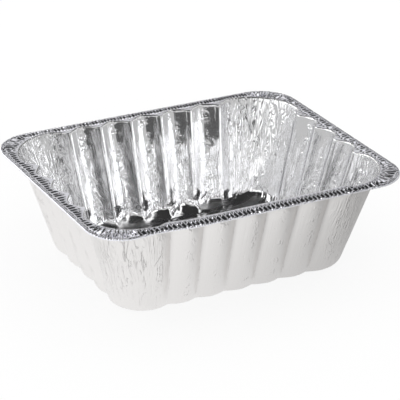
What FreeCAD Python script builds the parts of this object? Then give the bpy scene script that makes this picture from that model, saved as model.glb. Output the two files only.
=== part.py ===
import FreeCAD, Part
import math
import os
import Sketcher

# Deep rectangular tray, drawn from one sheet of foil: flat floor, fluted tapering walls,
# a flat flange and a rolled edge. Origin on the floor's underside, at the middle; +X along the length.

doc = FreeCAD.newDocument("FoilTray")
sizes = doc.addObject("Spreadsheet::Sheet", "Sizes")

drivingSizes = [
    ("rim_length", 324, "over the rolled edge, mm"),
    ("rim_width", 264, "over the rolled edge, mm"),
    ("rim_height", 102, "floor's underside to the top of the rolled edge, mm"),
    ("rim_corner", 39, "outer corner radius of the rolled edge, mm"),
    ("foil", 0.15, "thickness of the foil, mm"),
    ("flange_width", 11.5, "outside of the rolled edge to the crest of a flute, mm"),
    ("draft_angle", 16.8, "lean of the walls at the crests, degrees"),
    ("mouth_corner", 50, "corner radius at the mouth, mm"),
    ("base_corner", 30, "corner radius where the walls would meet the table, mm"),
    ("mouth_flute_depth", 9.7, "crest to valley at the mouth, mm"),
    ("base_flute_depth", 4.2, "crest to valley where the walls would meet the table, mm"),
    ("long_flutes", 5, "whole flutes on a long wall"),
    ("short_flutes", 3, "whole flutes on a short wall"),
    ("base_edge_radius", 12, "outer radius between floor and walls, mm"),
    ("bead_radius", 1.5, "outer radius of the rolled edge, mm"),
    ("bead_rise", 0.75, "top of the flange to the top of the rolled edge, mm"),
    ("curl_facets", 8, "facets of a full turn of the roll, which stops one short of closing"),
]
for row, (alias, number, note) in enumerate(drivingSizes, start=1):
    sizes.set(f"A{row}", alias)
    sizes.set(f"B{row}", str(number))
    sizes.setAlias(f"B{row}", alias)
    sizes.set(f"C{row}", note)
doc.recompute()

# Sizes that follow from those, as expressions.
mouthHalfLength = "(Sizes.rim_length / 2 - Sizes.flange_width)"
mouthHalfWidth = "(Sizes.rim_width / 2 - Sizes.flange_width)"
flangeTop = "(Sizes.rim_height - Sizes.bead_rise)"
wallRun = f"({flangeTop} * tan(Sizes.draft_angle))"
edgeAngle = "(90 - Sizes.draft_angle)"
edgeInset = f"(Sizes.base_edge_radius * tan({edgeAngle} / 2))"
edgeTop = f"(Sizes.base_edge_radius * (1 - cos({edgeAngle})))"
beadHalfLength = "(Sizes.rim_length / 2 - Sizes.bead_radius)"
beadHalfWidth = "(Sizes.rim_width / 2 - Sizes.bead_radius)"
beadCorner = "(Sizes.rim_corner - Sizes.bead_radius)"
beadHeight = "(Sizes.rim_height - Sizes.bead_radius)"
halfFacet = "(180 / Sizes.curl_facets)"
curlInner = f"(Sizes.bead_radius - Sizes.foil / cos({halfFacet}))"
flangeRise = "(Sizes.bead_radius - Sizes.bead_rise - Sizes.foil / 2)"
flangeReach = f"((Sizes.bead_radius + {curlInner}) / 2 - {flangeRise} * tan({halfFacet}))"

startPoint, endPoint, centrePoint = 1, 2, 3
origin = (-1, 1)
xAxis, yAxis = -1, -2
up = FreeCAD.Vector(0, 0, 1)


def evaluate(expression):
    return float(sizes.evalExpression(expression))


def newSketch(body, name, role, height="0"):
    sketch = body.newObject("Sketcher::SketchObject", name)
    plane = next(plane for plane in body.Origin.OriginFeatures if plane.Role == role)
    sketch.AttachmentSupport = [(plane, "")]
    sketch.MapMode = "FlatFace"
    sketch.setExpression("AttachmentOffset.Base.z", height)
    return sketch


def dimension(sketch, kind, places, expression):
    guess = evaluate(expression)
    if kind == "Angle":
        guess = math.radians(guess)
    index = sketch.addConstraint(Sketcher.Constraint(kind, *places, guess))
    sketch.setExpression(f"Constraints[{index}]", expression)


def placePoint(sketch, geometry, point, place, distances):
    """Fix a point at a distance from each axis; place says on which side of it."""
    for kind, axis, side, distance in zip(("DistanceX", "DistanceY"), (yAxis, xAxis), place, distances):
        if abs(side) < 1e-6:
            sketch.addConstraint(Sketcher.Constraint("PointOnObject", geometry, point, axis))
        elif side > 0:
            dimension(sketch, kind, (*origin, geometry, point), distance)
        else:
            dimension(sketch, kind, (geometry, point, *origin), distance)


def addArc(sketch, centre, radius, start, end):
    circle = Part.Circle(FreeCAD.Vector(centre[0], centre[1], 0), up, radius)
    return sketch.addGeometry(Part.ArcOfCircle(circle, start, end), False)


def squareToCentre(sketch, geometry, point, alongX):
    """An arc's end lies straight beside or straight below its centre."""
    kind = "Horizontal" if alongX else "Vertical"
    sketch.addConstraint(Sketcher.Constraint(kind, geometry, centrePoint, geometry, point))


def flutedOutline(body, name, inset, height, offset="0"):
    """One level of the wall: flutes bulging outwards that meet in sharp valleys.

    inset is how far its crests lie inside those of the mouth, and offset moves the whole
    line inwards by a thickness. Each corner is one lobe that ends in two half flutes.
    """
    halfLength = f"({mouthHalfLength} - {inset})"
    halfWidth = f"({mouthHalfWidth} - {inset})"
    corner = f"(Sizes.mouth_corner - (Sizes.mouth_corner - Sizes.base_corner) * {inset} / {wallRun})"
    depth = ("(Sizes.mouth_flute_depth - (Sizes.mouth_flute_depth - Sizes.base_flute_depth)"
             f" * {inset} / {wallRun})")
    fluteCounts = (int(evaluate("Sizes.long_flutes")), int(evaluate("Sizes.short_flutes")))
    sketch = newSketch(body, name, "XY_Plane", height)
    outline = []

    # The four sides, counter-clockwise from the front, each with the corner that follows it.
    for turn in range(4):
        isLong = turn % 2 == 0
        flutes = fluteCounts[turn % 2]
        half, across = (halfLength, halfWidth) if isLong else (halfWidth, halfLength)
        pitch = f"(2 * ({half} - {corner}) / {flutes + 1})"
        radius = f"({pitch}^2 / (8 * {depth}) + {depth} / 2)"
        out = math.radians(90 * turn - 90)
        reach = math.asin(evaluate(f"{pitch} / 2 / {radius}"))

        def fromSide(along, outwards):
            return (outwards * math.cos(out) - along * math.sin(out),
                    outwards * math.sin(out) + along * math.cos(out))

        for step in range(flutes + 2):
            place = step - (flutes + 1) / 2
            isFirst, isLast = step == 0, step == flutes + 1
            distances = [f"({abs(place)} * {pitch})", f"({across} - {radius})"]
            centre = fromSide(place * evaluate(pitch), evaluate(distances[1]))
            arc = addArc(sketch, centre, evaluate(f"{radius} - {offset}"),
                         out if isFirst else out - reach, out if isLast else out + reach)
            outline.append(arc)
            if isFirst or isLast:
                squareToCentre(sketch, arc, startPoint if isFirst else endPoint, not isLong)
            else:
                placePoint(sketch, arc, centrePoint, centre, distances if isLong else distances[::-1])
            dimension(sketch, "Radius", (arc,), f"{radius} - {offset}")

        distances = [f"({halfLength} - {corner})", f"({halfWidth} - {corner})"]
        centre = fromSide(*(evaluate(distance) for distance in (distances if isLong else distances[::-1])))
        arc = addArc(sketch, centre, evaluate(f"{corner} - {offset}"), out, out + math.pi / 2)
        outline.append(arc)
        squareToCentre(sketch, arc, startPoint, not isLong)
        squareToCentre(sketch, arc, endPoint, isLong)
        placePoint(sketch, arc, centrePoint, centre, distances)
        dimension(sketch, "Radius", (arc,), f"{corner} - {offset}")

    for before, after in zip(outline[-1:] + outline[:-1], outline):
        sketch.addConstraint(Sketcher.Constraint("Coincident", before, endPoint, after, startPoint))
    return sketch


def roundedRectangle(body, name, halfLength, halfWidth, corner, height):
    sketch = newSketch(body, name, "XY_Plane", height)
    distances = [f"({halfLength} - {corner})", f"({halfWidth} - {corner})"]
    inX, inY = (evaluate(distance) for distance in distances)
    radius = evaluate(corner)
    corners = [(inX, -inY), (inX, inY), (-inX, inY), (-inX, -inY)]
    outline = []
    for turn, centre in enumerate(corners):
        start = math.radians(90 * turn - 90)
        arc = addArc(sketch, centre, radius, start, start + math.pi / 2)
        squareToCentre(sketch, arc, startPoint, turn % 2 == 1)
        squareToCentre(sketch, arc, endPoint, turn % 2 == 0)
        placePoint(sketch, arc, centrePoint, centre, distances)
        dimension(sketch, "Radius", (arc,), corner)
        outline.append(arc)
    for arc, nextArc in zip(outline, outline[1:] + outline[:1]):
        ends = [sketch.getPoint(arc, endPoint), sketch.getPoint(nextArc, startPoint)]
        line = sketch.addGeometry(Part.LineSegment(*ends), False)
        sketch.addConstraint([
            Sketcher.Constraint("Coincident", arc, endPoint, line, startPoint),
            Sketcher.Constraint("Coincident", line, endPoint, nextArc, startPoint),
        ])
    return sketch


def curlSection(body, name):
    """Section of the rolled edge at the middle of the front: an open ring of straight facets."""
    sketch = newSketch(body, name, "YZ_Plane")
    facets = int(evaluate("Sizes.curl_facets"))
    angles = [f"(180 - 2 * {halfFacet} * {step})" for step in range(facets)]
    corners = [("Sizes.bead_radius", angle) for angle in angles]
    corners += [(curlInner, angle) for angle in reversed(angles)]
    places = [(f"({beadHalfWidth} + {radius} * cos({angle}))", f"({beadHeight} + {radius} * sin({angle}))")
              for radius, angle in corners]
    points = [FreeCAD.Vector(-evaluate(outwards), evaluate(height), 0) for outwards, height in places]
    lines = [sketch.addGeometry(Part.LineSegment(point, nextPoint), False)
             for point, nextPoint in zip(points, points[1:] + points[:1])]
    for index, line in enumerate(lines):
        sketch.addConstraint(Sketcher.Constraint("Coincident", lines[index - 1], endPoint, line, startPoint))
        placePoint(sketch, line, startPoint, points[index], places[index])
    return sketch


def wallLevels():
    """Inset, heights and wall offset of each level, outside and inside, from the floor up."""
    edgeSteps = 3
    wallSteps = 3
    for step in range(edgeSteps + 1):
        angle = f"({edgeAngle} * {step} / {edgeSteps})"
        yield {
            "inset": f"({wallRun} + {edgeInset} - Sizes.base_edge_radius * sin({angle}))",
            "outside": f"(Sizes.base_edge_radius * (1 - cos({angle})))",
            "inside": f"(Sizes.base_edge_radius - (Sizes.base_edge_radius - Sizes.foil) * cos({angle}))",
            "offset": f"(Sizes.foil * sin({angle}))",
        }
    for step in range(1, wallSteps + 1):
        height = f"({edgeTop} + ({flangeTop} - {edgeTop}) * {step} / {wallSteps})"
        yield {
            "inset": f"(({flangeTop} - {height}) * tan(Sizes.draft_angle))",
            "outside": height,
            "inside": height,
            "offset": "(Sizes.foil / cos(Sizes.draft_angle))",
        }


def ruledLoft(body, kind, name, sections):
    loft = body.newObject(kind, name)
    loft.Profile = sections[0]
    loft.Sections = sections[1:]
    loft.Ruled = True
    return loft


tray = doc.addObject("PartDesign::Body", "Tray")
tray.Label = "foil_tray"
levels = list(wallLevels())

outside = [flutedOutline(tray, f"Outside{number}", level["inset"], level["outside"])
           for number, level in enumerate(levels)]
ruledLoft(tray, "PartDesign::AdditiveLoft", "Bowl", outside)

flangeOutline = roundedRectangle(tray, "FlangeOutline", f"({beadHalfLength} - {flangeReach})",
                                 f"({beadHalfWidth} - {flangeReach})", f"({beadCorner} - {flangeReach})",
                                 f"({flangeTop} - Sizes.foil)")
flange = tray.newObject("PartDesign::Pad", "Flange")
flange.Profile = flangeOutline
flange.setExpression("Length", "Sizes.foil")

inside = [flutedOutline(tray, f"Inside{number}", level["inset"], level["inside"], level["offset"])
          for number, level in enumerate(levels)]
ruledLoft(tray, "PartDesign::SubtractiveLoft", "Hollow", inside)

edgePath = roundedRectangle(tray, "EdgePath", beadHalfLength, beadHalfWidth, beadCorner, beadHeight)
rolledEdge = tray.newObject("PartDesign::AdditivePipe", "RolledEdge")
rolledEdge.Profile = curlSection(tray, "CurlSection")
rolledEdge.Spine = edgePath
tray.Tip = rolledEdge

doc.recompute()
faults = [f"{item.Name}: {', '.join(item.State)}" for item in doc.Objects
          if {"Invalid", "Error"} & set(item.State)]
if faults:
    raise RuntimeError("not rebuilt: " + "; ".join(faults))
if tray.Shape.isNull() or not tray.Shape.isValid() or len(tray.Shape.Solids) != 1:
    raise RuntimeError("the tray isn't one valid solid")

box = tray.Shape.optimalBoundingBox()
print(f"{tray.Label}: {box.XLength:.2f} x {box.YLength:.2f} x {box.ZLength:.2f} mm, "
      f"{tray.Shape.Volume / 1000:.2f} cm3 of foil")
os.makedirs("parts", exist_ok=True)
tray.Shape.exportStep(f"parts/{tray.Label}.step")
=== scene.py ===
import math
import bpy
from mathutils import Matrix, Vector


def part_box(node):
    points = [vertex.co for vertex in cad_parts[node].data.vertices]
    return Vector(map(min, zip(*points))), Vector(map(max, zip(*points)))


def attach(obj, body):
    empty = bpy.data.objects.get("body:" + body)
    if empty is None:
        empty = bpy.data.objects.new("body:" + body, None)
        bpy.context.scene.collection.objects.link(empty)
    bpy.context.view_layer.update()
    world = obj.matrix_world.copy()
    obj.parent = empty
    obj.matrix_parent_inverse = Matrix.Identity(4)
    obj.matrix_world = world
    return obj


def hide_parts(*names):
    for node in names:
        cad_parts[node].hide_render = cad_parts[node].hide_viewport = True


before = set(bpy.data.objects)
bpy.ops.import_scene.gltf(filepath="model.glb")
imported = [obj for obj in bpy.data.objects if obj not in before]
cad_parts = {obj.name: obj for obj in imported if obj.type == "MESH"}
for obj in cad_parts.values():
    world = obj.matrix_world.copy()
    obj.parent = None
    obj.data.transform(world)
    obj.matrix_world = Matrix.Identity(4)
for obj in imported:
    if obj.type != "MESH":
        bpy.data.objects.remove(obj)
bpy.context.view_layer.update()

trayLow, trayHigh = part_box("foil_tray")
mm = 0.001  # the forms below are worked out in millimetres
nudge = 0.0001  # keeps samples on the right side of a boundary, and a divisor off zero


class Wire:  # a node's output that can be used in ordinary sums
    def __init__(self, maker, socket):
        self.maker = maker
        self.socket = socket

    def __add__(self, other):
        return self.maker.maths("ADD", self, other)

    def __sub__(self, other):
        return self.maker.maths("SUBTRACT", self, other)

    def __mul__(self, other):
        return self.maker.maths("MULTIPLY", self, other)

    def __truediv__(self, other):
        return self.maker.maths("DIVIDE", self, other)

    def __mod__(self, other):
        return self.maker.maths("FLOORED_MODULO", self, other)

    def __neg__(self):
        return self.maker.maths("MULTIPLY", self, -1)

    def __radd__(self, other):
        return self.maker.maths("ADD", other, self)

    def __rsub__(self, other):
        return self.maker.maths("SUBTRACT", other, self)

    def __rmul__(self, other):
        return self.maker.maths("MULTIPLY", other, self)

    def __lt__(self, other):
        return self.maker.maths("LESS_THAN", self, other)

    def __gt__(self, other):
        return self.maker.maths("GREATER_THAN", self, other)


class NodeMaker:
    def __init__(self, tree):
        self.tree = tree

    def node(self, kind, settings=None, values=None, output=0):
        made = self.tree.nodes.new(kind)
        for name, setting in (settings or {}).items():
            setattr(made, name, setting)
        for name, value in (values or {}).items():
            if isinstance(value, Wire):
                self.tree.links.new(value.socket, made.inputs[name])
            else:
                made.inputs[name].default_value = value
        return Wire(self, made.outputs[output]) if made.outputs else None

    def maths(self, operation, *values):
        return self.node("ShaderNodeMath", {"operation": operation}, dict(enumerate(values)))

    def vector(self, x, y, z=0.0):
        return self.node("ShaderNodeCombineXYZ", None, {"X": x, "Y": y, "Z": z})

    def parts(self, vector):
        return [self.node("ShaderNodeSeparateXYZ", None, {"Vector": vector}, axis) for axis in "XYZ"]

    def noise(self, vector, detail=2.0, roughness=0.5):  # 0 to 1, one lump a unit
        return self.node("ShaderNodeTexNoise", {"noise_dimensions": "3D"},
                         {"Vector": vector, "Scale": 1.0, "Detail": detail, "Roughness": roughness})

    def ramp(self, value, low, high):  # 0 below low, 1 above high, eased between
        return self.node("ShaderNodeMapRange", {"interpolation_type": "SMOOTHSTEP"},
                         {"Value": value, "From Min": low, "From Max": high})


def plain(function, operation):
    def either(value, *more):
        if isinstance(value, Wire):
            return value.maker.maths(operation, value, *more)
        return function(value, *more)
    return either


root = plain(math.sqrt, "SQRT")
sine = plain(math.sin, "SINE")
cosine = plain(math.cos, "COSINE")
size = plain(abs, "ABSOLUTE")
nearest = plain(round, "ROUND")
whole = plain(math.floor, "FLOOR")
least = plain(min, "MINIMUM")
most = plain(max, "MAXIMUM")


def pick(choice, yes, no):  # choice is 1 or 0, or a share between them
    return no + (yes - no) * choice


def held(value):  # kept between 0 and 1
    return most(least(value, 1.0), 0.0)


# The wall's outline, shared by the bowl and the rim
trayForm = {
    "rimHalfLength": (trayHigh.x - trayLow.x) / 2 / mm,
    "rimHalfWidth": (trayHigh.y - trayLow.y) / 2 / mm,
    "rimHeight": (trayHigh.z - trayLow.z) / mm,
    "rimCorner": 39.0,
    "flangeWidth": 11.5,
    "flangeDrop": 0.15,  # flange below the top of the rolled edge
    "draft": math.radians(16.8),
    "mouthCorner": 50.0,
    "baseCorner": 30.0,
    "mouthFlute": 10.6,
    "baseFlute": 4.7,
    "valleyRound": 1.6,
    "keenFlutes": 0.65,  # how far the flutes lean from round towards two flat faces
    "crestRound": 0.35,
    "longFlutes": 5,
    "shortFlutes": 3,
    "foil": 0.12,
    "lipRadius": 1.6,
}
topHeight = trayForm["rimHeight"] - trayForm["flangeDrop"]
wallRun = topHeight * math.tan(trayForm["draft"])
lipReach = trayForm["lipRadius"] * math.tan(math.pi / 4 - trayForm["draft"] / 2)


def outlineSizes(inset):
    share = inset / wallRun
    halfLength = trayForm["rimHalfLength"] - trayForm["flangeWidth"] - inset
    halfWidth = trayForm["rimHalfWidth"] - trayForm["flangeWidth"] - inset
    corner = trayForm["mouthCorner"] - (trayForm["mouthCorner"] - trayForm["baseCorner"]) * share
    depth = trayForm["mouthFlute"] - (trayForm["mouthFlute"] - trayForm["baseFlute"]) * share
    return halfLength, halfWidth, corner, depth


def fluteDip(along, pitch, depth):  # how far the wall lies inside its crests
    radius = pitch * pitch / (8 * depth) + depth / 2
    fromCrest = size(along - pitch * nearest(along / pitch))
    dip = radius - root(radius * radius - fromCrest * fromCrest)
    soft = trayForm["crestRound"]
    squareShare = fromCrest * fromCrest / (pitch * pitch / 4)
    twoFaced = (root(squareShare + soft * soft) - soft) / (math.hypot(1, soft) - soft)
    dip = pick(trayForm["keenFlutes"], twoFaced * depth, dip)
    slope = pitch / 2 / root(radius * radius - pitch * pitch / 4)
    pastFlank = most(fromCrest - (pitch / 2 - trayForm["valleyRound"]), 0.0)
    return dip - slope * pastFlank * pastFlank / (2 * trayForm["valleyRound"])


shoulderForm = {  # the front wall's flutes run out below its flange
    "foot": 84.0,
    "fluteShare": 0.03,
    "reach": 4.5,
    "sideFade": 14.0,
}
handling = {  # the bend that the front rim has taken
    "bendAt": -108.0,
    "bendReach": 46.0,
    "bendDepth": 4.5,
    "bendFoot": 55.0,  # height where the bend has run out
    "frontFrom": 0.4,  # share of the half width where the bend begins, and where it is full
    "frontFull": 0.9,
}


def bent(x, y, z):
    fromBend = (x - handling["bendAt"]) / handling["bendReach"]
    share = most(1 - fromBend * fromBend, 0.0)
    frontRun = handling["frontFull"] - handling["frontFrom"]
    front = held((-y / trayForm["rimHalfWidth"] - handling["frontFrom"]) / frontRun)
    height = held((z - handling["bendFoot"]) / (topHeight - handling["bendFoot"]))
    return y + handling["bendDepth"] * share * share * front * height * height


def sheetTree(name, inputs):
    tree = bpy.data.node_groups.new(name, "GeometryNodeTree")
    tree.interface.new_socket(name="Geometry", in_out="INPUT", socket_type="NodeSocketGeometry")
    tree.interface.new_socket(name="Geometry", in_out="OUTPUT", socket_type="NodeSocketGeometry")
    for label, value in inputs.items():
        kind = "NodeSocketInt" if isinstance(value, int) else "NodeSocketFloat"
        tree.interface.new_socket(name=label, in_out="INPUT", socket_type=kind)
    maker = NodeMaker(tree)
    entry = tree.nodes.new("NodeGroupInput")
    sockets = {label: Wire(maker, entry.outputs[label]) for label in inputs}
    return tree, maker, sockets


def makeSheet(name, tree, inputs, materials, thickness):
    piece = bpy.data.objects.new(name, bpy.data.meshes.new(name))
    bpy.context.scene.collection.objects.link(piece)
    modifier = piece.modifiers.new("shape", "NODES")
    modifier.node_group = tree
    for item in tree.interface.items_tree:
        if item.item_type == "SOCKET" and item.in_out == "INPUT" and item.name in inputs:
            modifier[item.identifier] = inputs[item.name]
    evaluated = piece.evaluated_get(bpy.context.evaluated_depsgraph_get())
    shaped = bpy.data.meshes.new_from_object(evaluated)
    piece.modifiers.remove(modifier)
    piece.data = shaped
    shaped.materials.clear()
    for material in materials:
        shaped.materials.append(material)
    wall = piece.modifiers.new("thickness", "SOLIDIFY")
    wall.thickness = thickness * mm
    wall.offset = -1
    wall.material_offset = 1
    wall.material_offset_rim = 0
    wall.use_quality_normals = False
    applyModifiers(piece)
    return piece


def applyModifiers(piece):
    evaluated = piece.evaluated_get(bpy.context.evaluated_depsgraph_get())
    finished = bpy.data.meshes.new_from_object(evaluated)
    piece.modifiers.clear()
    piece.data = finished


def finishTree(maker, geometry, material):
    smooth = maker.node("GeometryNodeSetShadeSmooth", None, {"Geometry": geometry})
    real = maker.node("GeometryNodeRealizeInstances", None, {"Geometry": smooth})
    last = maker.node("GeometryNodeSetMaterial", None, {"Geometry": real, "Material": material})
    outlet = maker.tree.nodes.new("NodeGroupOutput")
    maker.tree.links.new(last.socket, outlet.inputs["Geometry"])


def readNumber(maker, label):
    return maker.node("GeometryNodeInputNamedAttribute", {"data_type": "FLOAT"}, {"Name": label})


def storeValue(maker, geometry, label, value, kind="FLOAT"):
    return maker.node("GeometryNodeStoreNamedAttribute", {"data_type": kind, "domain": "POINT"},
                      {"Geometry": geometry, "Name": label, "Value": value})


def gridSheet(maker, across, along, rows):  # a flat grid that carries its own two coordinates
    grid = maker.node("GeometryNodeMeshGrid", None,
                      {"Size X": 1.0, "Size Y": 1.0, "Vertices X": across, "Vertices Y": rows})
    x, y, z = maker.parts(maker.node("GeometryNodeInputPosition"))
    return storeValue(maker, storeValue(maker, grid, "along", (x + 0.5) * along), "row", y + 0.5)


def placeAt(maker, geometry, x, y, z):
    return maker.node("GeometryNodeSetPosition", None,
                      {"Geometry": geometry, "Position": maker.vector(x * mm, y * mm, z * mm)})


foilLumps = {  # one lump of each mark: how wide and how tall in millimetres, how far it strays, how fine
    "folds": {"wide": 7.0, "tall": 40.0, "stray": 3.0, "detail": 1.0},
    "dents": {"wide": 6.0, "tall": 5.0, "stray": 2.0, "detail": 1.0},
    "footDents": {"wide": 9.0, "tall": 9.0, "stray": 0.0, "detail": 1.0},
    "pleats": {"wide": 3.4, "tall": 55.0, "stray": 4.0, "detail": 1.0},
    "fine": {"wide": 1.5, "tall": 34.0, "stray": 2.0, "detail": 0.0},
    "lines": {"wide": 1.0, "tall": 90.0, "stray": 0.0, "detail": 1.0},
    "crumples": {"wide": 2.6, "tall": 3.4, "stray": 2.0, "detail": 1.0},
    "bends": {"wide": 9.0, "tall": 60.0, "stray": 5.0, "detail": 1.0},
}
foilPatches = {  # patches that hold such marks, which fade in between two levels of the noise
    "dents": {"wide": 12.0, "tall": 12.0, "levels": (0.5, 0.6)},
    "crumples": {"wide": 9.0, "tall": 9.0, "levels": (0.46, 0.6)},
    "creases": {"wide": 7.0, "tall": 22.0, "levels": (0.45, 0.55)},
}
foilSpans = {  # where marks begin or end, as shares of the wall's height
    "wallFrom": (0.08, 0.3),
    "wallEnd": (0.96, 0.995),
    "footFrom": (0.005, 0.05),
    "footEnd": (0.12, 0.3),
    "marksFrom": (0.05, 0.16),
    "cornersFrom": (0.0, 0.7),
    "crumplesFrom": (0.03, 0.1),
    "swirlsEnd": (0.02, 0.12),
}
valleySpans = {"dents": (0.1, 0.4), "crumples": (0.06, 0.24)}  # shares of a flute's width from its valley
straying = {"wide": 14.0, "tall": 30.0, "reach": 4.0}  # the slow drift that takes lumps out of line


def foilNoise(maker, sheet, name):
    lump = foilLumps[name]
    wide = lump["wide"]
    x, y, z = maker.parts(sheet)
    shift = 0
    if lump["stray"]:
        drift = maker.vector(x / straying["wide"], y / straying["wide"], z / straying["tall"] + wide)
        shift = maker.noise(drift, 1.0) * lump["stray"] / wide * straying["reach"]
    return maker.noise(maker.vector(x / wide + shift, y / wide + shift, z / lump["tall"]), lump["detail"])


def foilPatch(maker, sheet, name):
    patch = foilPatches[name]
    x, y, z = maker.parts(sheet)
    place = maker.vector(x / patch["wide"], y / patch["wide"], z / patch["tall"])
    return maker.ramp(maker.noise(place, 0.0), *patch["levels"])


def pushOut(maker, geometry, distance):
    push = maker.node("ShaderNodeVectorMath", {"operation": "SCALE"},
                      {0: maker.node("GeometryNodeInputNormal"), "Scale": distance * mm})
    return maker.node("GeometryNodeSetPosition", None, {"Geometry": geometry, "Offset": push})


bowl = {
    "Samples Per Flute": 20,
    "Corner Units": 5.0,  # a corner counts as so many flutes when samples are shared out
    "Floor Rows": 3.0,
    "Edge Rows": 7.0,
    "Wall Rows": 42.0,
    "Lip Rows": 5.0,
    "Base Edge": 12.0,
    "Fold Depth": 1.0,
    "Dent Depth": 1.0,
    "Foot Depth": 1.6,
}


def makeBowl(materials):
    tree, maker, given = sheetTree("bowlShape", bowl)
    longUnits = trayForm["longFlutes"] + 1
    shortUnits = trayForm["shortFlutes"] + 1
    cornerUnits = bowl["Corner Units"]
    halfUnits = longUnits + shortUnits + 2 * cornerUnits
    units = 2 * halfUnits
    rows = bowl["Floor Rows"] + bowl["Edge Rows"] + bowl["Wall Rows"] + bowl["Lip Rows"]
    grid = gridSheet(maker, given["Samples Per Flute"] * units + 1, units, int(rows) + 1)
    around = readNumber(maker, "along")
    row = readNumber(maker, "row") * rows

    # up the section: floor, rounded edge, wall, lip
    floorShare = least(row / given["Floor Rows"], 1.0)
    edgeStart = given["Floor Rows"]
    wallStart = edgeStart + given["Edge Rows"]
    lipStart = wallStart + given["Wall Rows"]
    draft = trayForm["draft"]
    edgeRadius = given["Base Edge"]
    edgeShare = held((row - edgeStart) / given["Edge Rows"])
    wallShare = held((row - wallStart) / given["Wall Rows"])
    lipShare = held((row - lipStart) / given["Lip Rows"])
    edgeAngle = edgeShare * (math.pi / 2 - draft)
    edgeInset = wallRun + edgeRadius * math.tan(math.pi / 4 - draft / 2) - edgeRadius * sine(edgeAngle)
    edgeHeight = edgeRadius * (1 - cosine(edgeAngle))
    wallFoot = edgeRadius * (1 - math.sin(draft))
    wallHead = topHeight - lipReach * math.cos(draft)
    wallHeight = wallFoot + (wallHead - wallFoot) * wallShare
    wallInset = (topHeight - wallHeight) * math.tan(draft)
    lipAngle = draft + (math.pi / 2 - draft) * lipShare
    lipRadius = trayForm["lipRadius"]
    lipInset = lipRadius * cosine(lipAngle) - lipReach
    lipHeight = topHeight - lipRadius + lipRadius * sine(lipAngle)
    onEdge = row < wallStart
    onLip = row > lipStart
    inset = pick(onLip, lipInset, pick(onEdge, edgeInset, wallInset))
    height = pick(onLip, lipHeight, pick(onEdge, edgeHeight, wallHeight))

    # round the outline: front, corner, right side, corner, and the same again turned by half
    halfLength, halfWidth, corner, depth = outlineSizes(inset)
    place = around % halfUnits
    turned = whole(around / halfUnits + nudge) % 2
    longPitch = 2 * (halfLength - corner) / longUnits
    shortPitch = 2 * (halfWidth - corner) / shortUnits
    frontAlong = (place - longUnits / 2) * longPitch
    rightStart = longUnits + cornerUnits
    rightAlong = (place - rightStart - shortUnits / 2) * shortPitch
    lastStart = rightStart + shortUnits
    isFront = place < longUnits
    isFirstCorner = (place < rightStart) - isFront
    isRight = (place < lastStart) - (place < rightStart)
    isLastCorner = 1 - (place < lastStart)
    turn = math.pi / 2
    firstAngle = (place - longUnits) / cornerUnits * turn - turn
    lastAngle = (place - lastStart) / cornerUnits * turn
    inX, inY = halfLength - corner, halfWidth - corner
    level = maker.ramp(height, shoulderForm["foot"], topHeight) * (1 - turned)
    level = level * (1 - maker.ramp(size(frontAlong), inX - shoulderForm["sideFade"], inX))
    frontDip = fluteDip(frontAlong, longPitch, depth)
    frontDip = pick(level, frontDip * shoulderForm["fluteShare"] + shoulderForm["reach"], frontDip)
    x = (frontAlong * isFront + (inX + corner * cosine(firstAngle)) * isFirstCorner
         + (halfLength - fluteDip(rightAlong, shortPitch, depth)) * isRight
         + (inX + corner * cosine(lastAngle)) * isLastCorner)
    y = ((frontDip - halfWidth) * isFront
         + (corner * sine(firstAngle) - inY) * isFirstCorner
         + rightAlong * isRight + (inY + corner * sine(lastAngle)) * isLastCorner)
    side = 1 - 2 * turned
    x, y, z = x * side * floorShare, y * side * floorShare, height + trayForm["foil"]
    shape = placeAt(maker, grid, x, bent(x, y, z), z)

    # what the foil's marks follow: the way round the mouth, the height, the corners and the valleys
    mouthLength, mouthWidth, mouthCorner, mouthDepth = outlineSizes(0.0)
    frontRun = 2 * (mouthLength - mouthCorner)
    sideRun = 2 * (mouthWidth - mouthCorner)
    cornerRun = mouthCorner * math.pi / 2
    halfRun = frontRun + sideRun + 2 * cornerRun
    girth = turned * halfRun
    start = 0
    counts = [longUnits, cornerUnits, shortUnits, cornerUnits]
    for count, run in zip(counts, [frontRun, cornerRun, sideRun, cornerRun]):
        girth = girth + held((place - start) / count) * run
        start = start + count
    ringAngle = girth / halfRun * math.pi
    ringRadius = halfRun / math.pi
    height = maker.parts(maker.node("GeometryNodeInputPosition"))[2] / mm
    ring = maker.vector(ringRadius * cosine(ringAngle), ringRadius * sine(ringAngle), height)
    shape = storeValue(maker, shape, "sheet", ring, "FLOAT_VECTOR")
    cornerPlaces = [longUnits + cornerUnits / 2, lastStart + cornerUnits / 2, -cornerUnits / 2]
    first, second, before = [size(place - middle) for middle in cornerPlaces]
    fromCorner = least(least(first, second), before)
    pleating = maker.ramp(cornerUnits / 2 + 0.5 - fromCorner, 0.0, 0.5)
    shape = storeValue(maker, shape, "pleating", pleating)
    valley = (place + 0.5) % 1.0 - 0.5
    shape = storeValue(maker, shape, "valley", valley)

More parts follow.
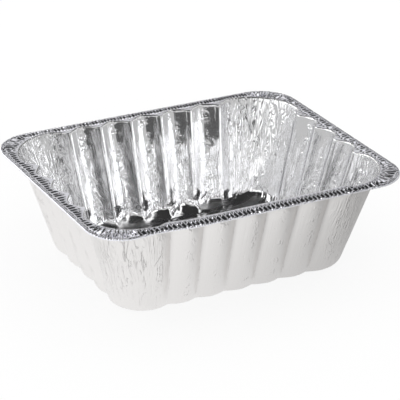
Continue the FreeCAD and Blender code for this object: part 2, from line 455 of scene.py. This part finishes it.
    # folds in the corners and dents beside the valleys, those that are deep enough to cast shade
    sheet = maker.node("GeometryNodeInputNamedAttribute", {"data_type": "FLOAT_VECTOR"}, {"Name": "sheet"})
    share = maker.parts(sheet)[2] / topHeight
    onWall = maker.ramp(share, *foilSpans["wallFrom"]) * (1 - maker.ramp(share, *foilSpans["wallEnd"]))
    folds = (foilNoise(maker, sheet, "folds") - 0.5) * pleating
    nearValley = 1 - maker.ramp(size(valley), *valleySpans["dents"])
    dentPlaces = foilPatch(maker, sheet, "dents") * nearValley * (1 - pleating)
    dents = (foilNoise(maker, sheet, "dents") - 0.5) * dentPlaces
    nearFoot = maker.ramp(share, *foilSpans["footFrom"]) * (1 - maker.ramp(share, *foilSpans["footEnd"]))
    footDents = (foilNoise(maker, sheet, "footDents") - 0.5) * nearFoot
    wallDepth = (folds * given["Fold Depth"] + dents * given["Dent Depth"]) * onWall
    shape = pushOut(maker, shape, wallDepth + footDents * given["Foot Depth"])

    joined = maker.node("GeometryNodeMergeByDistance", None, {"Geometry": shape, "Distance": 0.00001})
    flipped = maker.node("GeometryNodeFlipFaces", None, {"Mesh": joined})
    finishTree(maker, flipped, materials[0])
    return makeSheet("foil_bowl", tree, bowl, materials, trayForm["foil"])


rim = {
    "Samples": 3100,
    "Band Rows": 2.0,
    "Flange Rows": 7.0,
    "Curl Rows": 6.0,
    "Smooth Band": 1.6,
    "Bead Radius": 1.5,
    "Curl Start": math.radians(116),
    "Curl Sweep": math.radians(251),
    "Crimp Pitch": 4.3,
    "Side Pitch": 4.9,
    "Crimp Height": 1.65,
    "Back Pitch": 3.4,
    "Back Height": 1.5,
    "Crimp Flat": 0.27,  # share of each crimp that stays level, along the two long sides
    "Side Flat": 0.3,
    "Crimp Reach": 10.5,
    "Corner Pitch": 6.0,
    "Corner Height": 1.8,
    "Bead Pitch": 2.7,
    "Bead Crimp": 0.7,
}
crimping = {  # how the crimps differ from place to place, in millimetres or as shares
    "wander": 0.11,  # lumps to a millimetre of the drift in a crimp's place, and of that in its depth
    "unevenness": 0.35,
    "fanWander": 2.0,
    "beadWander": 3.0,
    "least": 0.75,  # depth of the weakest crimp, and how much more the strongest has
    "more": 0.5,
    "fanLeast": 0.2,
    "fanMore": 1.5,
    "frontBottom": 0.26,  # where a V is deepest, front and right: its long slope faces left or near
    "backBottom": 0.74,  # the same for the back and the left, where the rim runs the other way
    "innerEase": 0.9,
    "bandEase": 1.0,
    "fanSpan": (0.6, 5.0),
    "cornerEase": 4.0,  # half the stretch over which the crimps change into a corner's
    "cornerLoss": 0.15,
    "firstCornerLoss": 0.4,
    "firstFanLoss": 0.65,
    "outerSpan": (1.6, 3.2),  # short sides and corners: crimps run out this far inside the bead's middle
    "notchEnd": math.radians(80),
    "beadLumps": 0.5,  # lumps to a millimetre of the notches' depth round the bead, and to a row
    "beadRowLumps": 0.8,
    "beadLeast": 0.4,
    "lipOverlap": 0.3,  # how far the rim reaches in past the end of the bowl's lip
}


def groove(place, flat, bottom):  # 0 on the level part, falling to -1 at the bottom of a leaning V
    past = most(place % 1.0 - flat, 0.0) / (1 - flat)
    return -least(past / bottom, (1 - past) / (1 - bottom))


def makeRim(materials):
    tree, maker, given = sheetTree("rimShape", rim)
    beadRadius = rim["Bead Radius"]
    corner = trayForm["rimCorner"]
    coreX = trayForm["rimHalfLength"] - corner
    coreY = trayForm["rimHalfWidth"] - corner
    beadPath = corner - beadRadius
    cornerRun = beadPath * math.pi / 2
    frontEnd = 2 * coreX
    rightStart = frontEnd + cornerRun
    lastStart = rightStart + 2 * coreY
    halfRun = lastStart + cornerRun
    rows = rim["Band Rows"] + rim["Flange Rows"] + rim["Curl Rows"]
    grid = gridSheet(maker, given["Samples"] + 1, 2 * halfRun, int(rows) + 1)
    along = readNumber(maker, "along")
    row = readNumber(maker, "row") * rows
    place = along % halfRun
    turned = whole(along / halfRun + nudge) % 2

    # how far the mouth lies from the rim's core rectangle, looking straight out from it
    halfLength, halfWidth, mouthCorner, depth = outlineSizes(crimping["lipOverlap"] - lipReach)
    inX, inY = halfLength - mouthCorner, halfWidth - mouthCorner
    frontX = place - coreX
    rightY = place - rightStart - coreY
    isFront = place < frontEnd
    isFirstCorner = (place < rightStart) - isFront
    isRight = (place < lastStart) - (place < rightStart)
    isLastCorner = 1 - (place < lastStart)
    isCorner = isFirstCorner + isLastCorner
    nearSide = isFront * (1 - turned)

    def straightReach(position, across, flutes, inward, core, shoulder):
        pitch = 2 * inward / (flutes + 1)
        dip = fluteDip(position, pitch, depth)
        past = most(size(position) - inward, 0.0)
        level = 1 - maker.ramp(size(position), inward - shoulderForm["sideFade"], inward)
        dip = pick(shoulder * level, dip * shoulderForm["fluteShare"] + shoulderForm["reach"], dip)
        rounded = across - mouthCorner + root(mouthCorner * mouthCorner - past * past)
        return pick(size(position) > inward, rounded, across - dip) - core

    frontReach = straightReach(frontX, halfWidth, trayForm["longFlutes"], inX, coreY, nearSide)
    rightReach = straightReach(rightY, halfLength, trayForm["shortFlutes"], inY, coreX, 0.0)
    turn = math.pi / 2
    firstAngle = (place - frontEnd) / cornerRun * turn - turn
    lastAngle = (place - lastStart) / cornerRun * turn
    angle = firstAngle * isFirstCorner + lastAngle * isLastCorner - turn * isFront
    offX, offY = coreX - inX, coreY - inY
    towards = offX * size(cosine(angle)) + offY * size(sine(angle))
    cornerReach = root(towards * towards - offX * offX - offY * offY + mouthCorner * mouthCorner) - towards
    mouthReach = frontReach * isFront + rightReach * isRight + cornerReach * isCorner

    # along the section: smooth band, crimped flange, rolled edge
    beadHeight = trayForm["rimHeight"] - beadRadius
    flangeEnd = beadPath + beadRadius * math.cos(rim["Curl Start"])
    bandEnd = mouthReach + given["Smooth Band"]
    bandShare = least(row / given["Band Rows"], 1.0)
    flangeShare = held((row - given["Band Rows"]) / given["Flange Rows"])
    curlShare = most((row - given["Band Rows"] - given["Flange Rows"]) / given["Curl Rows"], 0.0)
    flangeReach = pick(bandShare < 1.0, mouthReach + (bandEnd - mouthReach) * bandShare,
                       bandEnd + (flangeEnd - bandEnd) * flangeShare)

    # crimps: uneven in place and depth, with a coarser fan of them round each corner
    fromCorner = least(size(place - frontEnd - cornerRun / 2), size(place - lastStart - cornerRun / 2))
    fromCorner = least(fromCorner, place + cornerRun / 2)
    ease = crimping["cornerEase"]
    intoCorner = 1 - maker.ramp(fromCorner, cornerRun / 2 - ease, cornerRun / 2 + ease)
    wander = maker.noise(maker.vector(along * crimping["wander"], 3.0, 0.0), 1.0)
    strength = maker.noise(maker.vector(along * crimping["unevenness"], 7.0, 0.0), 1.0)
    isBack = isFront * turned
    flat = pick(isFront, given["Crimp Flat"], given["Side Flat"])
    pitch = pick(isFront + isLastCorner, given["Crimp Pitch"], given["Side Pitch"])
    pitch = pick(isBack, given["Back Pitch"], pitch)
    bottom = pick(turned, crimping["backBottom"], crimping["frontBottom"])
    crimp = groove(along / pitch + wander, flat, bottom)
    crimp = crimp * (crimping["least"] + strength * crimping["more"])
    fanDrift = wander * crimping["fanWander"]
    fan = groove(along / given["Corner Pitch"] + fanDrift, given["Crimp Flat"], bottom)
    fan = fan * (crimping["fanLeast"] + strength * crimping["fanMore"])
    fromMouth = flangeReach - mouthReach
    fromInside = flangeReach - (beadPath - given["Crimp Reach"])
    band = rim["Smooth Band"]
    crimpPlace = maker.ramp(fromInside, 0.0, crimping["innerEase"])
    crimpPlace = crimpPlace * maker.ramp(fromMouth, band, band + crimping["bandEase"])
    fanPlace = maker.ramp(fromMouth, *crimping["fanSpan"]) * intoCorner
    crimpHeight = pick(isBack, given["Back Height"], given["Crimp Height"])
    crimpShare = 1 - intoCorner * (isFirstCorner * crimping["firstCornerLoss"] + crimping["cornerLoss"])
    fanShare = 1 - isFirstCorner * crimping["firstFanLoss"]
    insideEdge = pick(isFront, 1.0, maker.ramp(beadPath - flangeReach, *crimping["outerSpan"]))
    flangeLift = (crimp * crimpHeight * crimpPlace * crimpShare
                  + fan * given["Corner Height"] * fanShare * fanPlace) * insideEdge
    beadWave = sine((along / given["Bead Pitch"] + wander * crimping["beadWander"]) * 2 * math.pi)
    beadPlace = maker.vector(along * crimping["beadLumps"], row * crimping["beadRowLumps"], 11.0)
    beadLumps = maker.noise(beadPlace, 1.0)
    curlAngle = given["Curl Start"] - given["Curl Sweep"] * curlShare
    beadDip = 0.5 - 0.5 * beadWave * least(crimping["beadLeast"] + beadLumps, 1.0)
    curlRadius = given["Bead Radius"] - given["Bead Crimp"] * beadDip
    onCurl = row > rim["Band Rows"] + rim["Flange Rows"] + nudge
    reach = pick(onCurl, beadPath + curlRadius * cosine(curlAngle), flangeReach)
    notchEnd = pick(nearSide, 0.0, crimping["notchEnd"])  # the near side's crimps run on over the bead
    notch = flangeLift * maker.ramp(curlAngle, notchEnd, rim["Curl Start"])
    height = pick(onCurl, beadHeight + curlRadius * sine(curlAngle) + notch, topHeight + flangeLift)

    x = (frontX * isFront + (coreX + reach * cosine(angle)) * isCorner + (coreX + reach) * isRight)
    y = ((-coreY - reach) * isFront + (reach * sine(angle) - coreY) * isFirstCorner
         + rightY * isRight + (reach * sine(angle) + coreY) * isLastCorner)
    side = 1 - 2 * turned
    shape = placeAt(maker, grid, x * side, bent(x * side, y * side, height), height)
    joined = maker.node("GeometryNodeMergeByDistance", None, {"Geometry": shape, "Distance": 0.00001})
    flipped = maker.node("GeometryNodeFlipFaces", None, {"Mesh": joined})
    finishTree(maker, flipped, materials[0])
    return makeSheet("foil_rim", tree, rim, materials, trayForm["foil"])


def newMaterial(name):
    material = bpy.data.materials.new(name)
    material.use_nodes = True
    material.node_tree.nodes.clear()
    return material, NodeMaker(material.node_tree)


def finishMaterial(maker, colour, roughness, normal):
    surface = maker.node("ShaderNodeBsdfPrincipled", None,
                         {"Base Color": colour, "Metallic": 1.0, "Roughness": roughness, "Normal": normal})
    maker.node("ShaderNodeOutputMaterial", None, {"Surface": surface})


markHeights = {"pleats": 0.25, "fine": 0.32, "lines": 0.08, "crumples": 1.0, "creases": 0.55}
pleatSlope = 6
creaseWidth = 0.02  # how far the noise moves across half a crease
sheetLumps = {"swirls": (45, 95, 60), "scuffs": (20, 70, 0), "waves": (90, 90, 50)}  # to a metre, each way
scuffLevels = (0.46, 0.6)
scuffEnd = (0.003, 0.009)  # height over which the floor's scuffs run out


def spaceNoise(maker, position, lumps, detail, level=0.0):
    x, y, z = position
    along, across, up = lumps
    return maker.noise(maker.vector(x * along, y * across, z * up + level), detail)


def wallMarks(maker, position, swirlHeight):  # the foil's height over a smooth wall, in millimetres
    sheet = maker.node("ShaderNodeAttribute", {"attribute_name": "sheet"}, None, "Vector")
    pleating = maker.node("ShaderNodeAttribute", {"attribute_name": "pleating"}, None, "Fac")
    valley = maker.node("ShaderNodeAttribute", {"attribute_name": "valley"}, None, "Fac")
    share = maker.parts(sheet)[2] / topHeight
    onWall = maker.ramp(share, *foilSpans["marksFrom"])
    inCorner = pleating * maker.ramp(share, *foilSpans["cornersFrom"])
    fromRidge = size(foilNoise(maker, sheet, "pleats") - 0.5)
    pleats = (1 - fromRidge * pleatSlope) * markHeights["pleats"] * inCorner
    fineHeight = inCorner * markHeights["fine"] + markHeights["lines"]
    fine = (foilNoise(maker, sheet, "fine") - 0.5) * fineHeight
    lines = (foilNoise(maker, sheet, "lines") - 0.5) * markHeights["lines"] * (1 - inCorner)
    bends = size(foilNoise(maker, sheet, "bends") - 0.5)
    creasePlaces = foilPatch(maker, sheet, "creases") * inCorner
    creases = (maker.ramp(bends, 0.0, creaseWidth) - 1) * creasePlaces * markHeights["creases"]
    nearValley = 1 - maker.ramp(size(valley), *valleySpans["crumples"])
    aboveFoot = maker.ramp(share, *foilSpans["crumplesFrom"])
    crumplePlaces = foilPatch(maker, sheet, "crumples") * nearValley * aboveFoot
    crumples = (foilNoise(maker, sheet, "crumples") - 0.5) * crumplePlaces * markHeights["crumples"]
    swirls = spaceNoise(maker, position, sheetLumps["swirls"], 1.5) * swirlHeight
    nearFloor = 1 - maker.ramp(share, *foilSpans["swirlsEnd"])
    return swirls * nearFloor + (creases + pleats + fine + lines + crumples) * onWall


def foilMaterial(name, look):
    material, maker = newMaterial(name)
    position = maker.parts(maker.node("ShaderNodeTexCoord", None, None, "Object"))
    grain = spaceNoise(maker, position, look["grain"], 2.0)
    waves = spaceNoise(maker, position, sheetLumps["waves"], 1.0)
    height = grain * look["grainHeight"] + waves * look["waveHeight"]
    if look["marks"]:
        height = (height + wallMarks(maker, position, look["swirls"])) * look["marks"]
    bump = maker.node("ShaderNodeBump", None, {"Strength": 1.0, "Distance": mm, "Height": height})
    roughness = look["roughness"] + (grain - 0.5) * look["roughnessSpread"]
    if look["scuffs"]:  # duller streaks along the floor
        scuffs = maker.ramp(spaceNoise(maker, position, sheetLumps["scuffs"], 1.0, 5.0), *scuffLevels)
        onFloor = 1 - maker.ramp(position[2], *scuffEnd)
        roughness = roughness + scuffs * onFloor * look["scuffs"]
    finishMaterial(maker, look["colour"], roughness, bump)
    return material


brightFoil = {
    "colour": (0.93, 0.93, 0.94, 1),
    "roughness": 0.08,
    "roughnessSpread": 0.06,
    "grain": (800, 800, 400),  # lumps to a metre
    "grainHeight": 0.02,
    "waveHeight": 0.3,
    "marks": 1,
    "swirls": 2.2,
    "scuffs": 0.27,
}
satinFoil = {
    "colour": (0.86, 0.845, 0.835, 1),
    "roughness": 0.3,
    "roughnessSpread": 0.1,
    "grain": (800, 800, 400),
    "grainHeight": 0.02,
    "waveHeight": 0.3,
    "marks": -1.7,  # what is raised inside is sunk outside
    "swirls": 0.3,
    "scuffs": 0,
}
crimpedFoil = {
    "colour": (0.9, 0.9, 0.95, 1),
    "roughness": 0.06,
    "roughnessSpread": 0.05,
    "grain": (1200, 1200, 600),
    "grainHeight": 0.012,
    "waveHeight": 0.05,
    "marks": 0,
    "scuffs": 0,
}

print("materials")
inside = foilMaterial("bright_foil", brightFoil)
outside = foilMaterial("satin_foil", satinFoil)
crimped = foilMaterial("crimped_foil", crimpedFoil)

print("bowl")
bowlPiece = makeBowl([inside, outside])
print("rim")
rimPiece = makeRim([crimped, outside])
for piece in (bowlPiece, rimPiece):
    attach(piece, "root")
    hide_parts("foil_tray")
    print(piece.name, len(piece.data.polygons) * 2, "triangles")

print("studio")
studio = {
    "floorSize": 6.0,
    "floorColour": (0.9, 0.9, 0.9, 1),
    "floorGlow": 0.86,  # share of the floor that shows as plain white
    "softLight": 1.15,  # even light from all sides that the floor gets
    "tableLit": 1.0,  # pale table as the foil mirrors it, dimmer on the side away from the window
    "tableDim": 0.5,
    "litEnd": -0.16,
    "dimEnd": 0.22,
    "wallLevel": 0.55,  # pale wall round the horizon
    "wallTop": 24.0,
    "wallFade": 0.06,  # half the rise over which the wall turns dark
    "horizonLow": -0.05,  # rise over which the table turns into the wall
    "horizonHigh": 0.02,
    "darkLevel": 0.03,
    "edge": 3.0,  # degrees over which a light fades out
}
# What the foil mirrors: where each card and soft light stands, in degrees, with +X at 0 and +Y at 90
darkCards = [
    {"azimuth": -115, "halfWidth": 28, "low": 0, "high": 12, "level": 0.1},
    {"azimuth": -90, "halfWidth": 10, "low": 22, "high": 38, "level": 0.06},
    {"azimuth": -38, "halfWidth": 18, "low": 11, "high": 26, "level": 0.28},
    {"azimuth": 36, "halfWidth": 26, "low": -3, "high": 21, "level": 0.12},
    {"azimuth": 72, "halfWidth": 10, "low": -2, "high": 11, "level": 0.05},
]
softLights = [
    {"azimuth": 152, "halfWidth": 32, "low": 12, "high": 49, "level": 2.2},
    {"azimuth": -156, "halfWidth": 24, "low": 13, "high": 36, "level": 1.2},
    {"azimuth": -112, "halfWidth": 20, "low": 12, "high": 30, "level": 0.65},
    {"azimuth": -60, "halfWidth": 24, "low": 24, "high": 37, "level": 1.35},
    {"azimuth": -20, "halfWidth": 38, "low": 37, "high": 50, "level": 1.2},
    {"azimuth": 62, "halfWidth": 70, "low": 49, "high": 60, "level": 0.9},
    {"azimuth": 88, "halfWidth": 12, "low": 13, "high": 30, "level": 1.3},
    {"azimuth": 62, "halfWidth": 22, "low": 22, "high": 34, "level": 0.7},
    {"azimuth": 0, "halfWidth": 20, "low": 0, "high": 22, "level": 0.95},
]


def grey(label):
    return (studio[label], studio[label], studio[label], 1)


def makeFloor():
    half = studio["floorSize"] / 2
    corners = [(-half, -half, 0), (half, -half, 0), (half, half, 0), (-half, half, 0)]
    mesh = bpy.data.meshes.new("floor")
    mesh.from_pydata(corners, [], [(0, 1, 2, 3)])
    floor = bpy.data.objects.new("floor", mesh)
    bpy.context.scene.collection.objects.link(floor)
    material, maker = newMaterial("pale_floor")
    rays = maker.tree.nodes.new("ShaderNodeLightPath")
    camera = Wire(maker, rays.outputs["Is Camera Ray"])
    glossy = Wire(maker, rays.outputs["Is Glossy Ray"])
    matt = maker.node("ShaderNodeBsdfDiffuse", None, {"Color": studio["floorColour"]})
    glow = maker.node("ShaderNodeEmission", None, {"Color": (1, 1, 1, 1), "Strength": 1.0})
    x, y, z = maker.parts(maker.node("ShaderNodeTexCoord", None, None, "Object"))
    away = maker.ramp(x, studio["litEnd"], studio["dimEnd"])
    tableColour = maker.node("ShaderNodeMix", {"data_type": "RGBA"},
                             {0: away, 6: grey("tableLit"), 7: grey("tableDim")}, 2)
    table = maker.node("ShaderNodeEmission", None, {"Color": tableColour, "Strength": 1.0})
    seen = maker.node("ShaderNodeMixShader", None, {"Fac": camera * studio["floorGlow"], 1: matt, 2: glow})
    mixed = maker.node("ShaderNodeMixShader", None, {"Fac": glossy, 1: seen, 2: table})
    maker.node("ShaderNodeOutputMaterial", None, {"Surface": mixed})
    mesh.materials.append(material)


def softWindow(maker, x, y, z, card):  # 1 inside the card's outline, easing to 0 over a few degrees
    ease = studio["edge"]
    level = root(x * x + y * y) + nudge
    azimuth = math.radians(card["azimuth"])
    facing = (x * math.cos(azimuth) + y * math.sin(azimuth)) / level
    sides = [math.cos(math.radians(card["halfWidth"] + ease * way)) for way in (1, -1)]
    foot = [math.sin(math.radians(card["low"] + ease * way / 2)) for way in (-1, 1)]
    head = [math.sin(math.radians(card["high"] + ease * way / 2)) for way in (-1, 1)]
    return maker.ramp(facing, *sides) * maker.ramp(z, *foot) * (1 - maker.ramp(z, *head))


def makeWorld():
    world = bpy.data.worlds.new("studio")
    bpy.context.scene.world = world
    world.use_nodes = True
    world.node_tree.nodes.clear()
    maker = NodeMaker(world.node_tree)
    direction = maker.node("ShaderNodeTexCoord", None, None, "Generated")
    x, y, z = maker.parts(direction)
    wallTop = math.sin(math.radians(studio["wallTop"]))
    fade = studio["wallFade"]
    aboveWall = maker.ramp(z, wallTop - fade, wallTop + fade)
    wall = pick(aboveWall, studio["darkLevel"], studio["wallLevel"])
    aboveTable = maker.ramp(z, studio["horizonLow"], studio["horizonHigh"])
    light = pick(aboveTable, wall, studio["tableLit"])
    for card in darkCards + softLights:
        light = pick(softWindow(maker, x, y, z, card), card["level"], light)
    rays = maker.tree.nodes.new("ShaderNodeLightPath")
    camera = Wire(maker, rays.outputs["Is Camera Ray"])
    glossy = Wire(maker, rays.outputs["Is Glossy Ray"])
    strength = pick(camera, 1.0, pick(glossy, light, studio["softLight"]))
    background = maker.node("ShaderNodeBackground", None, {"Color": (1, 1, 1, 1), "Strength": strength})
    maker.node("ShaderNodeOutputWorld", None, {"Surface": background})


makeFloor()
makeWorld()

# The camera stands where the photograph was taken from, by the outline of the rim and the base
view = {
    "focalPixels": 1919.0,
    "pixels": 400,
    "azimuth": math.radians(-28.05),
    "elevation": math.radians(24.76),
    "roll": math.radians(0.57),
    "distance": 1.8336,
    "shiftRight": -0.00226,
    "shiftUp": 0.03838,
}


def makeCamera():
    azimuth, elevation, roll = view["azimuth"], view["elevation"], view["roll"]
    back = Vector((math.sin(azimuth) * math.cos(elevation), -math.cos(azimuth) * math.cos(elevation),
                   math.sin(elevation)))
    level = Vector((math.cos(azimuth), math.sin(azimuth), 0))
    upright = back.cross(level)
    right = level * math.cos(roll) + upright * math.sin(roll)
    up = upright * math.cos(roll) - level * math.sin(roll)
    rimCentre = Vector((0, 0, (trayForm["rimHeight"] - rim["Bead Radius"]) * mm))
    place = rimCentre + back * view["distance"] - right * view["shiftRight"] - up * view["shiftUp"]
    data = bpy.data.cameras.new("camera")
    data.sensor_width = 36
    data.lens = view["focalPixels"] / view["pixels"] * data.sensor_width
    camera = bpy.data.objects.new("camera", data)
    camera.matrix_world = Matrix.Translation(place) @ Matrix((right, up, back)).transposed().to_4x4()
    bpy.context.scene.collection.objects.link(camera)
    bpy.context.scene.camera = camera


makeCamera()
bpy.context.scene.view_settings.view_transform = "Standard"
